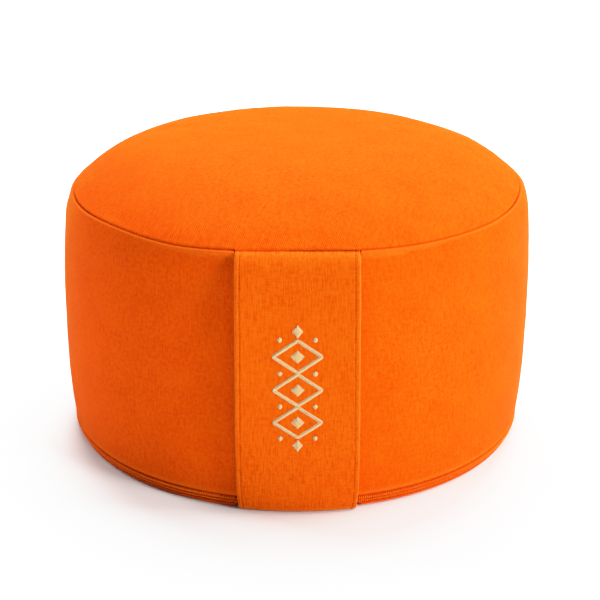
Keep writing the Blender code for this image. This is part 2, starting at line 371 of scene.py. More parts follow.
def add_node(tree, kind, links=(), stops=(), **settings):
    """Adds a node with its settings, colour stops and links. Its kind is written without a prefix."""
    kinds = [prefix + kind for prefix in ("ShaderNode", "GeometryNode", "FunctionNode", "Node")]
    node = tree.nodes.new(next(name for name in kinds if hasattr(bpy.types, name)))
    for name, value in settings.items():
        setattr(node, name, value)
    for i, (position, tone) in enumerate(stops):
        elements = node.color_ramp.elements
        stop = elements[i] if i < len(elements) else elements.new(position)
        stop.position = position
        stop.color = linear(tone)
    connect(node, dict(links))
    return node


def into_scene(name, data):
    obj = bpy.data.objects.new(name, data)
    bpy.context.scene.collection.objects.link(obj)
    return obj


def evaluated(obj):
    """The object as its modifiers leave it."""
    return obj.evaluated_get(bpy.context.evaluated_depsgraph_get())


def new_object(name, mesh, material):
    mesh.name = name
    mesh.materials.clear()
    mesh.materials.append(material)
    return into_scene(name, mesh)


def mesh_from(bm, name):
    mesh = bpy.data.meshes.new(name)
    bm.to_mesh(mesh)
    bm.free()
    return mesh


def smooth_piece(bm, name, material, **marks):
    """A smooth piece. The marks are numbers on its points that its material reads."""
    mesh = mesh_from(bm, name)
    for label, values in marks.items():
        attribute = mesh.attributes.new(label, "FLOAT", "POINT")
        attribute.data.foreach_set("value", np.array(values, np.float32))
    mesh.shade_smooth()
    return new_object(name, mesh, material)


def add_face(bm, corners, uvs):
    """A face whose corners keep their places on the flat cloth."""
    layer = bm.loops.layers.uv["cloth"]
    for loop, uv in zip(bm.faces.new(corners).loops, uvs):
        loop[layer].uv = uv


def between_rings(rings):
    """The faces between neighbouring rings of vertices, as (ring, column, the four corners)."""
    for k, (lower, upper) in enumerate(zip(rings, rings[1:])):
        for i in range(len(lower)):
            j = (i + 1) % len(lower)
            yield k, i, (lower[i], lower[j], upper[j], upper[i])


def place(obj, slot, *nodes):
    """The piece moves with the part and stands for these nodes, which it hides. Its slot is not used."""
    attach(obj, "root")
    if nodes:
        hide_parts(*nodes)
    return obj


# ---- Materials ----
def new_material(name, finish):
    """A material whose shader has this finish, and what adds nodes to it."""
    material = bpy.data.materials.new(name)
    material.use_nodes = True
    shader = material.node_tree.nodes["Principled BSDF"]
    connect(shader, finish)
    return material, shader, partial(add_node, material.node_tree)


def cotton_twill(name, valley, thread, raised, rubbed_and_highlight, crease, slub):
    """Cotton twill, piece dyed and lightly brushed: matt, with diagonal wales, slubs and a soft fuzz.

    A real wale is about 0.8 mm wide. It is drawn 1.15 mm wide, because a finer one doesn't show at the
    picture's 0.65 mm a pixel.
    """
    finish = {
        "Roughness": 0.88,
        "Specular IOR Level": 0.025,
        "Sheen Weight": 0.16,
        "Sheen Roughness": 0.24,
        "Sheen Tint": linear("#B4EC40"),
    }
    material, shader, add = new_material(name, finish)
    wale_pitch = 1.15 * MM
    wale_turn = math.radians(-45.0)
    yarn_pitch = 0.75 * MM
    cloth = add("UVMap", uv_map="cloth")
    turned = add("Mapping", {"Vector": cloth, "Rotation": (0.0, 0.0, wale_turn)})
    wavy = {"Vector": turned, "Scale": WAVE_PERIOD / wale_pitch, "Distortion": 1.8, "Detail": 2.0}
    wales = add("TexWave", {**wavy, "Detail Scale": 0.5}, bands_direction="X")
    plain = {"Vector": cloth, "Scale": WAVE_PERIOD / yarn_pitch, "Distortion": 0.5, "Detail": 0.0}
    yarns, picks = (add("TexWave", plain, bands_direction=way) for way in "XY")
    crossing = add("Math", {0: yarns, 1: picks}, operation="MULTIPLY")
    floats = add("Math", {0: crossing, 1: 0.4, 2: 0.6}, operation="MULTIPLY_ADD")
    weave = add("Math", {0: wales, 1: floats}, operation="MULTIPLY")
    # Slubs: thick places in the yarn, long and thin, along both sets of threads.
    along, across = (
        add("Mapping", {"Vector": cloth, "Scale": (1 / (wide * MM), 1 / (high * MM), 1.0)})
        for wide, high in ((0.8, 10.0), (8.0, 0.8))
    )
    slubs_along, slubs_across = (
        add("TexNoise", {"Vector": way, "Scale": 1.0, "Detail": 2.0}) for way in (along, across)
    )
    slubs = add("Math", {0: slubs_across, 1: 0.4, 2: slubs_along}, operation="MULTIPLY_ADD")
    # The brushed nap lies unevenly, in soft cloudy patches, and its fuzz is finer.
    nap, fuzz = (
        add("TexNoise", {"Vector": cloth, "Scale": 1 / (size * MM), "Detail": 3.0}) for size in (24.0, 2.4)
    )
    shade = add("Math", {0: slubs, 1: slub, 2: -0.70 * slub}, operation="MULTIPLY_ADD")
    for layer, weight in ((weave, 0.50), (fuzz, 0.85), (nap, 0.35)):
        shade = add("Math", {0: layer, 1: weight, 2: shade}, operation="MULTIPLY_ADD")
    colour = add("ValToRGB", {"Fac": shade}, stops=((0.40, valley), (0.69, thread), (0.98, raised)))
    # The mesh marks where the cloth is painted lighter on a fold, worn and partly a painted highlight, and
    # the darker sewn crease of the top seam: its thread and needle holes, and partly painted shade of the
    # crease.
    for mark, tone in (("fold", rubbed_and_highlight), ("sewn", crease)):
        marked = add("Attribute", attribute_name=mark).outputs["Fac"]
        mix = add("Mix", {"Factor": marked, 6: colour, 7: linear(tone)}, data_type="RGBA")
        colour = mix.outputs[2]
    relief = weave
    for layer, weight in ((slubs, slub), (fuzz, 0.5)):
        relief = add("Math", {0: layer, 1: weight, 2: relief}, operation="MULTIPLY_ADD")
    bump = add("Bump", {"Height": relief, "Strength": 0.55, "Distance": 0.26 * MM})
    connect(shader, {"Base Color": colour, "Normal": bump})
    return material


def spun_thread(name, light, dark, roughness, specular, sheen):
    """Twisted thread: smooth filaments with a soft lustre, darker down between the stitches."""
    finish = {"Roughness": roughness, "Specular IOR Level": specular, "Sheen Weight": sheen}
    material, shader, add = new_material(name, finish)
    twist_pitch = 0.5 * MM
    where = add("TexCoord").outputs["Object"]
    twist = add("TexNoise", {"Vector": where, "Scale": 1 / twist_pitch, "Detail": 2.0})
    ramp = add("ValToRGB", {"Fac": twist}, stops=((0.30, dark), (0.62, light)))
    connect(shader, {"Base Color": ramp})
    return material


def polyester_coil(name):
    """Dyed polyester monofilament, drawn and wound: smooth and a little glossy."""
    material, shader, add = new_material(name, {"Roughness": 0.55, "Specular IOR Level": 0.08})
    where = add("TexCoord").outputs["Object"]
    dye = add("TexNoise", {"Vector": where, "Scale": 1 / (6 * MM), "Detail": 2.0})
    ramp = add("ValToRGB", {"Fac": dye}, stops=((0.0, "#FF6C00"), (1.0, "#FF8018")))
    connect(shader, {"Base Color": ramp})
    return material


def woven_tape(name):
    """Polyester zip tape, closely woven: matt, with a fine rib across."""
    material, shader, add = new_material(name, {"Roughness": 0.8, "Specular IOR Level": 0.1})
    rib_pitch = 0.9 * MM
    ribs = add("TexWave", {"Vector": add("UVMap", uv_map="cloth"), "Scale": WAVE_PERIOD / rib_pitch})
    ramp = add("ValToRGB", {"Fac": ribs}, stops=((0.0, "#B43800"), (1.0, "#CC4200")))
    bump = add("Bump", {"Height": ribs, "Strength": 0.5, "Distance": 0.15 * MM})
    connect(shader, {"Base Color": ramp, "Normal": bump})
    return material


def studio_floor(name):
    """Matt white painted sheet, a touch cool, so that the cushion's orange bounce leaves it neutral."""
    finish = {"Base Color": linear("#F0F6F6"), "Roughness": 0.9, "Specular IOR Level": 0.1}
    return new_material(name, finish)[0]


# ---- Strap: its surface, which its cloth and its stitching all follow ----
def fine_route():
    """The route as rows of (distance along the strap, in front, height, half width, roundness)."""
    step = 1.0 / 12
    numbered = [(i, *row) for i, row in enumerate(STRAP_ROUTE)]
    count = round((len(STRAP_ROUTE) - 1) / step)
    rows = np.array([along_table(numbered, i * step) for i in range(count + 1)])
    lengths = np.hypot(np.diff(rows[:, 0]), np.diff(rows[:, 1]))
    return np.column_stack([np.concatenate([[0.0], np.cumsum(lengths)]), rows])


ROUTE = fine_route()
STRAP_LENGTH = float(ROUTE[-1, 0])


def strap_middle(across, along):
    """Points (mm) of the strap's middle layer, from arrays of the distance across and along it."""
    forward, height, roundness = (np.interp(along, ROUTE[:, 0], ROUTE[:, k]) for k in (1, 2, 4))
    falls_back = WIDEST_RADIUS - np.sqrt(WIDEST_RADIUS**2 - across**2)
    return np.stack([STRAP_CENTRE_X + across, roundness * falls_back - forward, height], axis=-1)


def on_strap(flat):
    """Points (mm) laid out flat as (across, along, out of the face), carried onto the strap's face."""
    across, along, out = np.asarray(flat, float).T
    reach = 1.2
    side = strap_middle(across + reach, along) - strap_middle(across - reach, along)
    down = strap_middle(across, along + reach) - strap_middle(across, along - reach)
    normal = np.cross(down, side)
    normal /= np.linalg.norm(normal, axis=1, keepdims=True)
    points = strap_middle(across, along) + normal * out[:, None]
    points[:, 2] = np.maximum(points[:, 2], 0.0)  # the floor flattens the sewn end
    return points


def strap_half_width(along):
    return float(np.interp(along, ROUTE[:, 0], ROUTE[:, 3]))


def strap_half_thickness(from_edge):
    """Half the strap's thickness this far from its side edge: rounded fold, margin, channel, middle."""
    margin = smoothstep((MARGIN_WIDTH + MARGIN_EASE / 2 - from_edge) / MARGIN_EASE)
    half = STRAP_MIDDLE + (STRAP_HALF_THICKNESS - STRAP_MIDDLE) * margin
    half -= CHANNEL_DEPTH * hump(from_edge - STITCH_INSET, CHANNEL_WIDTH)
    if from_edge < STRAP_HALF_THICKNESS:
        half *= math.sqrt(max(0.0, 1.0 - (1.0 - from_edge / STRAP_HALF_THICKNESS) ** 2))
    return half


def strap_section(half_width):
    """The strap's closed section as (across, half thickness with its sign, mark for a folded edge)."""
    # The same number of steps in every section, so that the rings of the mesh meet point for point.
    first = STRAP_EDGE_COLUMNS[-1]
    step = (half_width - first) / STRAP_MIDDLE_STEPS
    distances = STRAP_EDGE_COLUMNS + [first + step * (i + 1) for i in range(STRAP_MIDDLE_STEPS)]
    left = [(d - half_width, strap_half_thickness(d), d) for d in distances]
    face = left + [(-x, t, d) for x, t, d in reversed(left[:-1])]
    back = [(x, -t, d) for x, t, d in reversed(face[1:-1])]
    return [(x, t, fold_wear_and_highlight(d)) for x, t, d in face + back]


def fold_wear_and_highlight(from_edge):
    """How far the cloth is painted lighter, as worn cloth and partly as a painted highlight on the fold:
    most on the pressed edge, a little over the turned-in margin.
    """
    return EDGE_WEAR_AND_HIGHLIGHT * hump(from_edge, 0.8) + MARGIN_WEAR_AND_HIGHLIGHT * smoothstep((STITCH_INSET - from_edge) / 0.6)


def make_carry_band(material):
    """Doubled cloth: a tube turned right side out, pressed flat and topstitched along both edges."""
    alongs = [0.0] + evenly(0.0, STRAP_LENGTH, STRAP_STEP)
    foot = float(np.interp(-STRAP_FOOT_HEIGHT, -ROUTE[:, 2], ROUTE[:, 0]))
    back_layout = 0.3  # the back's cloth lies this far from the face's in the flat layout, in metres
    flat, marks, uvs = [], [], []
    for along in alongs:
        half = strap_half_width(along)
        ends = min(along, STRAP_LENGTH - along)
        blunt = math.sqrt(min(1.0, (ends + 0.35) / 1.4))
        for across, out, mark in strap_section(half):
            ripple = sum(uneven(across / wide, along / long, seed) for wide, long, seed in STRAP_RIPPLES)
            waver = uneven(math.copysign(4.0, across), along / STRAP_EDGE_WAVE, 1.3) * STRAP_EDGE_WAVER
            waver *= smoothstep(1.0 - (half - abs(across)) / 9.0)
            lift = STRAP_ROUGHNESS * ripple * (1.0 - mark) * smoothstep(ends / 6.0)
            flat.append((across + waver, along, out * blunt + lift))
            # Painted lighter on the folded edges, the fold at the foot and the top: worn, and partly a
            # painted highlight.
            marks.append(max(mark, FOOT_WEAR_AND_HIGHLIGHT * hump(along - foot, 1.2), TOP_WEAR_AND_HIGHLIGHT * hump(along - 6.0, 3.0)))
            uvs.append((across * MM, -along * MM - (0.0 if out >= 0 else back_layout)))
    count = len(flat) // len(alongs)
    bm = bmesh.new()
    bm.loops.layers.uv.new("cloth")
    verts = [bm.verts.new(p) for p in on_strap(flat) * MM]
    rows = [list(range(start, start + count)) for start in range(0, len(flat), count)]
    faces = [(a, d, c, b) for _, _, (a, b, c, d) in between_rings(rows)]
    for face in faces + [rows[0], rows[-1][::-1]]:
        add_face(bm, [verts[i] for i in face], [uvs[i] for i in face])
    bmesh.ops.recalc_face_normals(bm, faces=bm.faces[:])
    return smooth_piece(bm, "carry_band", material, fold=marks)


# ---- Cover: its shape ----
Row = namedtuple("Row", "radius height panel from_seam")  # from_seam: distance from the top seam


def waves(angle, column):
    return sum(row[column] * math.cos(row[0] * angle + math.radians(row[1])) for row in UNEVENNESS)


def band_radius(height):
    share = (height - BAND_BOTTOM) / (SEAM_HEIGHT - BAND_BOTTOM)
    return WIDEST_RADIUS - along_table(BAND_SHAPE, share)[0]


def crown_slope(radius):
    return CROWN_RISE * CROWN_FULLNESS / SEAM_RADIUS * (radius / SEAM_RADIUS) ** (CROWN_FULLNESS - 1)


def crown_height(radius):
    return SEAM_HEIGHT + CROWN_RISE * (1.0 - (radius / SEAM_RADIUS) ** CROWN_FULLNESS)


def seam_straightening(angle):
    """Share by which the strap pulls the round top seam in to a straight line at the front."""
    front = -math.sin(angle)
    return min(1.0, SEAM_FLAT / (SEAM_RADIUS * front)) if front > 0.0 else 1.0


def cover_point(angle, radius, height):
    """A point (mm) of the filled cover, with its lean, its uneven fill and its straightened seam."""
    up = max(0.0, (height - LIP_HEIGHT) / (SEAM_HEIGHT - LIP_HEIGHT))
    rim = smoothstep((height - (SEAM_HEIGHT - SEAM_FLAT_FADE)) / SEAM_FLAT_FADE)
    if height > SEAM_HEIGHT:
        up = 1.0
        rim = (radius / SEAM_RADIUS) ** CROWN_FLAT_FADE
    swell = waves(angle, 2) * math.sin(math.pi * min(up, 1.0)) + waves(angle, 3) * rim * 0.5
    pulled = 1.0 - (1.0 - seam_straightening(angle)) * rim
    flat_radius = (radius + swell) * pulled
    x = flat_radius * math.cos(angle)
    z = height + up * (SEAM_TILT * x + waves(angle + 1.0, 3) * rim)
    return Vector((x + LEAN * max(0.0, height - LIP_HEIGHT), flat_radius * math.sin(angle), z))


def cover_rows():
    """The cover's rings, from the rim of the base panel's middle grid to that of the top panel's."""
    edge = BASE_EDGE_ROUND
    base = [(BASE_DISC, 0.0)]
    base += [(r, 0.0) for r in evenly(BASE_DISC, BASE_RADIUS - edge - 0.5, PANEL_STEP)]
    base += arc((BASE_RADIUS - edge, edge), edge, -90.0, 0.0, 4)
    base += arc((BASE_RADIUS - edge, BASE_EDGE_HEIGHT - edge), edge, 0.0, 90.0, 4)
    base += [(ZIP_SEAT_RADIUS, BASE_EDGE_HEIGHT)]
    lip = band_radius(BAND_BOTTOM) - LIP_ROUND
    seat = [(ZIP_SEAT_RADIUS, LIP_HEIGHT)]
    seat += [(r, LIP_HEIGHT) for r in evenly(ZIP_SEAT_RADIUS, lip - 0.5, PANEL_STEP)]
    seat += arc((lip, BAND_BOTTOM), LIP_ROUND, -90.0, 0.0, 5)
    rows = [Row(r, h, "base", FAR_FROM_SEAM) for r, h in base]
    rows += [Row(r, h, "lip", FAR_FROM_SEAM) for r, h in seat]
    heights = [BAND_BOTTOM + d for d in BAND_FIRST_STEPS]
    heights += evenly(BAND_EVEN_FROM, SEAM_HEIGHT - SEAM_STEPS[-1] - 1.0, BAND_STEP)
    heights += [SEAM_HEIGHT - d for d in reversed(SEAM_STEPS)]
    rows += [Row(band_radius(h), h, "band", SEAM_HEIGHT - h) for h in heights]
    rows.append(Row(SEAM_RADIUS, SEAM_HEIGHT, "crown", 0.0))
    cloth_per_mm = math.hypot(1.0, crown_slope(SEAM_RADIUS))
    radii = [SEAM_RADIUS - d / cloth_per_mm for d in SEAM_STEPS]
    radii += evenly(radii[-1], CROWN_DISC, CROWN_STEP)
    rows += [Row(r, crown_height(r), "crown", (SEAM_RADIUS - r) * cloth_per_mm) for r in radii]
    return rows


def slide_over_shoulder(row, angle):
    """Radius and height of a row where the seam lies further in, and its distance past the shoulder."""
    place = row.from_seam if row.panel == "crown" else -row.from_seam
    if abs(place) > 4.0 * SLIDE_WIDTH:
        return row.radius, row.height, place
    most, spread, fill = SEAM_SLIDES[0 if math.cos(angle) > 0.0 else 1]
    here = hump(math.asin(abs(math.sin(angle))), spread)
    place += most * here * hump(place, SLIDE_WIDTH)
    if place > 0.0:
        radius = SEAM_RADIUS - place / math.hypot(1.0, crown_slope(SEAM_RADIUS))
        height = crown_height(radius)
    else:
        height = SEAM_HEIGHT + place
        radius = band_radius(height)
    return radius + fill * here * hump(place + 2.0, SHOULDER_WIDTH), height, place


def column_angles():
    """Angles of the mesh columns, from the front and round by the right, finer at the strap's corners."""
    fine = np.linspace(0.0, math.tau, 7201)
    from_front = np.minimum(fine, math.tau - fine)
    density = 1.0 + CORNER_FINENESS * np.exp(-(((from_front - CORNER_ANGLE) / CORNER_SPREAD) ** 2))
    so_far = np.concatenate([[0.0], np.cumsum((density[1:] + density[:-1]) / 2)])
    return np.interp(np.arange(SEGMENTS + 1) / SEGMENTS * so_far[-1], so_far, fine) + FRONT


ANGLES = column_angles()


def beyond_strap(x):
    """How far x lies outside the strap's side edge at the seam."""
    return abs(x - STRAP_CENTRE_X) - STRAP_ROUTE[0][2]


def behind_strap(x, room, slope):
    """1 where x lies behind the strap and its room at each side, and 0 past the slope beside that."""
    return smoothstep((room + slope - beyond_strap(x)) / slope)


def to_segment(x, y, fold):
    """Distance from a point to a fold's line, and the share of the way along it."""
    x0, y0, x1, y1 = fold[:4]
    length = math.hypot(x1 - x0, y1 - y0)
    t = ((x - x0) * (x1 - x0) + (y - y0) * (y1 - y0)) / length**2
    t = min(max(t, 0.0), 1.0)
    return math.hypot(x - x0 - t * (x1 - x0), y - y0 - t * (y1 - y0)), t


def over_allowance(row, point):
    """1 where the side band lies over its turned-in allowance, beside the strap, and less further off."""
    if row.panel != "band" or point.y > 0.0:
        return 0.0
    beyond = beyond_strap(point.x)
    nearness = 1.0 - smoothstep(beyond / ALLOWANCE_FADE)
    if beyond < -1.0 or nearness == 0.0:
        return 0.0
    reach = ALLOWANCE_LEAST + (ALLOWANCE_REACH - ALLOWANCE_LEAST) * nearness
    reach *= 1.0 + ALLOWANCE_WAVER * uneven(point.x / ALLOWANCE_WAVER_LENGTH, 0.0, 8.0)
    return nearness * smoothstep((reach - row.from_seam) / 1.3) * smoothstep(row.from_seam / 1.2)


def cloth_relief(row, angle, point):
    """How far the cloth stands out (mm) at the seam's crease, folds and gathers and the strap's corners."""
    d = row.from_seam
    strapped = behind_strap(point.x, SLOT_ROOM, SLOT_CALM)
    rise = -CREASE_DEPTH * hump(d, CREASE_WIDTH) * (1.0 - strapped)
    rise += FOLD_RISE * hump(d - FOLD_PLACE, FOLD_WIDTH) * (1.0 - 0.6 * strapped)
    gather = uneven(angle * SEAM_RADIUS / GATHER_LENGTH, 0.35 * d / GATHER_LENGTH, 5.0)
    rise += GATHER_RISE * gather * math.exp(-d / GATHER_REACH) * (1.0 - strapped)
    rise += ALLOWANCE_RISE * over_allowance(row, point)
    if row.panel == "band" and point.y < 0.0:
        beyond = beyond_strap(point.x)
        if -1.0 < beyond < 30.0:
            for fold in CORNER_FOLDS:
                away, share = to_segment(beyond, d, fold)
                rise += fold[5] * hump(away, fold[4]) * (1.0 - share**2)
    return rise


def lower_seam(row, angle, point):
    """Brings the seam down a little each side of the strap."""
    from_front = abs((angle - FRONT + math.pi) % math.tau - math.pi)
    drop = SEAM_DROP * hump(from_front - SEAM_DROP_ANGLE, SEAM_DROP_SPREAD)
    return point - UP * drop * hump(row.from_seam, SEAM_DROP_WIDTH)


def ease_front(angle, radius, height, point):
    """Towards the front the top panel lies a little lower and runs flatter into its seam."""
    if height <= SEAM_HEIGHT:
        return point
    share = radius / SEAM_RADIUS
    fullness = CROWN_FULLNESS - CROWN_FRONT_EASE * max(0.0, -math.sin(angle)) ** 2
    return point - UP * CROWN_RISE * (share**fullness - share**CROWN_FULLNESS)


def tuck_under_strap(row, point):
    """Opens the top seam for the strap: the side band follows its back and the top panel folds over it."""
    fold_over = ((148.7, 172.8), (149.0, 174.3), (153.3, 173.6), (153.75, 173.95))
    share = behind_strap(point.x, SLOT_ROOM, SLOT_SLOPE)
    if share == 0.0 or point.y > 0.0:
        return point
    if row.panel == "crown":
        steps_in = [0.0, *SEAM_STEPS]
        step = min(range(len(steps_in)), key=lambda i: abs(steps_in[i] - row.from_seam))
        if step >= len(fold_over):
            return point
        forward, height = fold_over[step]
        if step > 0:
            height += FOLD_STEP * (smoothstep((point.x - FOLD_STEP_X) / 2.5) - 0.4)
            height += 0.25 * uneven(point.x / 9.0, 0.0, 2.0)
        return point.lerp(Vector((point.x, -forward, height + SEAM_TILT * point.x)), share)
    if row.from_seam > SLOT_REACH:
        return point
    joins_at = 13.6  # along the strap, where its back meets the free side band
    along = row.from_seam * joins_at / SLOT_JOIN
    back = on_strap([(point.x - STRAP_CENTRE_X, along, -STRAP_HALF_THICKNESS - PIECE_GAP)])[0]
    share *= smoothstep((SLOT_REACH - row.from_seam) / (SLOT_REACH - SLOT_JOIN))
    return point.lerp(Vector(back), share)


def lift_base_edge(row, point):
    """The filled base rounds up a little off the floor at its rim."""
    if row.panel != "base" or row.height > BASE_EDGE_HEIGHT - BASE_EDGE_ROUND:
        return point
    rise = BASE_EDGE_LIFT * smoothstep((row.radius - BASE_DISC) / (BASE_RADIUS - BASE_DISC))
    return point + UP * rise


def press_for_tail(point):
    """The strap's sewn end is pressed up into the filled base, so both rest flat."""
    if point.z > BASE_EDGE_HEIGHT + 0.01 or point.y > -TAIL_RECESS_BACK + RECESS_SLOPE:
        return point
    share = behind_strap(point.x, TAIL_RECESS_SIDE, RECESS_SLOPE)
    share *= smoothstep((-point.y - TAIL_RECESS_BACK + RECESS_SLOPE) / RECESS_SLOPE)
    room = BASE_EDGE_HEIGHT - point.z
    return point + UP * share * TAIL_RECESS_DEPTH * room / BASE_EDGE_HEIGHT


# ---- Cover: what its filling does, simulated ----
def starting_form():
    """The cover without its seams and folds, as a closed mesh a little smaller than it will be."""
    rows = [(BASE_RADIUS, 0.0), (BASE_RADIUS + 2.0, LIP_HEIGHT)]
    rows += [(band_radius(h), h) for h in evenly(BAND_BOTTOM, SEAM_HEIGHT, FORM_STEP)]
    rows += [(r, crown_height(r)) for r in evenly(SEAM_RADIUS, FORM_STEP, FORM_STEP)]
    bm = bmesh.new()
    rings = []
    for radius, height in rows:
        ring = [cover_point(a, radius, height) for a in round_turn(FORM_COLUMNS)]
        rings.append([bm.verts.new(point * START_SHARE * MM) for point in ring])
    for _, _, corners in between_rings(rings):
        bm.faces.new(corners)
    bm.faces.new(reversed(rings[0]))
    bm.faces.new(rings[-1])
    return mesh_from(bm, "filling_form")


def swell_of_filling():
    """Swells the form with the filling's pressure. Returns a tree of its points and how each one moved."""
    scene = bpy.context.scene
    form = into_scene("filling_form", starting_form())
    remesh = form.modifiers.new("even", "REMESH")
    remesh.mode = "VOXEL"
    remesh.voxel_size = VOXEL * MM
    even = bpy.data.meshes.new_from_object(evaluated(form))
    form.modifiers.clear()
    form.data = even
    held = form.vertex_groups.new(name="held")
    filled = form.vertex_groups.new(name="filled")
    for v in even.vertices:
        height = v.co.z / MM
        hold = 1.0 - smoothstep((height - LIP_HEIGHT) / FORM_HELD)
        if hold > 0.0:
            held.add([v.index], hold, "REPLACE")
        # The husks aren't packed evenly, so they press harder in some places than in others.
        patch = Vector(v.co) / (HUSK_PATCH * MM) + Vector((2.0, 7.0, 5.0))
        packed = HUSK_PACKING + HUSK_VARIATION * noise.noise(patch)
        filled.add([v.index], min(max(packed, 0.1), 1.0), "REPLACE")
    cloth = form.modifiers.new("cover", "CLOTH")
    cloth_settings = {
        "quality": 5,
        "mass": 0.35,
        "tension_stiffness": 4.0,
        "compression_stiffness": 4.0,
        "bending_stiffness": 3.0,
        "use_pressure": True,
        "uniform_pressure_force": PRESSURE,
        "vertex_group_pressure": "filled",
        "vertex_group_mass": "held",
    }
    for label, value in cloth_settings.items():
        setattr(cloth.settings, label, value)
    cloth.settings.effector_weights.gravity = 0.0
    cloth.collision_settings.use_collision = False
    start = np.array([v.co for v in even.vertices])
    for number in range(1, LAST_FRAME + 1):
        scene.frame_set(number)
    swollen = evaluated(form).to_mesh()
    moves = np.array([v.co for v in swollen.vertices]) - start
    lengths = np.linalg.norm(moves, axis=1, keepdims=True)
    moves *= np.minimum(1.0, MOST_SWELL * MM / np.maximum(lengths, 1e-9))
    bpy.data.objects.remove(form)
    scene.frame_set(1)
    moves = uneven_part(start, moves)
    tree = kdtree.KDTree(len(start))
    for i, place_before in enumerate(start):
        tree.insert(place_before, i)
    tree.balance()
    return tree, moves


def uneven_part(start, moves):
    """The moves less their mean round the cushion. The fitted shape already has the even swell."""
    around = np.hypot(start[:, 0], start[:, 1])
    outwards = start[:, :2] / np.maximum(around, 1e-6)[:, None]
    turn = np.arctan2(start[:, 2] - SEAM_HEIGHT / 2 * MM, around)
    edges = np.linspace(-math.pi / 2, math.pi / 2, SECTION_BINS + 1)
    middles = (edges[1:] + edges[:-1]) / 2
    count = np.maximum(np.histogram(turn, edges)[0], 1)
    radial = (moves[:, :2] * outwards).sum(axis=1)
    even_radial = np.interp(turn, middles, np.histogram(turn, edges, weights=radial)[0] / count)
    even_rise = np.interp(turn, middles, np.histogram(turn, edges, weights=moves[:, 2])[0] / count)
    return moves - np.column_stack([outwards * even_radial[:, None], even_rise])


def filled_place(point, swell):
    """Where the uneven filling carries a point of the cover (mm), kept near the shape that was fitted."""
    tree, moves = swell
    near = tree.find_n(point * START_SHARE * MM, NEAREST_POINTS)
    weights = np.array([1.0 / (distance**2 + (3.0 * MM) ** 2) for _, _, distance in near])
    change = Vector(weights @ moves[[index for _, index, _ in near]] / weights.sum()) / MM
    kept = math.tanh(change.length / MOST_CHANGE) * MOST_CHANGE
    return point + change * (kept / max(change.length, 1e-9))


def panel_uv(co):
    """The top and base panels are cut with their threads turned a little from the strap's."""
    cos, sin = math.cos(PANEL_TURN), math.sin(PANEL_TURN)
    return (co.x * cos - co.y * sin, co.x * sin + co.y * cos)


# ---- Cover: its mesh ----
def disc_rows(count):
    """A square grid drawn into a circle: for each grid point (share of the radius, column), row by row."""
    for j in range(count + 1):
        for i in range(count + 1):
            a, b = 2.0 * i / count - 1.0, 2.0 * j / count - 1.0
            if abs(a) > abs(b):
                share, turn = abs(a), b / a + (0.0 if a > 0 else 4.0)
            elif b != 0.0:
                share, turn = abs(b), 2.0 - a / b + (0.0 if b > 0 else 4.0)
            else:
                share, turn = 0.0, 0.0
            yield i, j, share, (turn % 8.0) / 8.0 * SEGMENTS


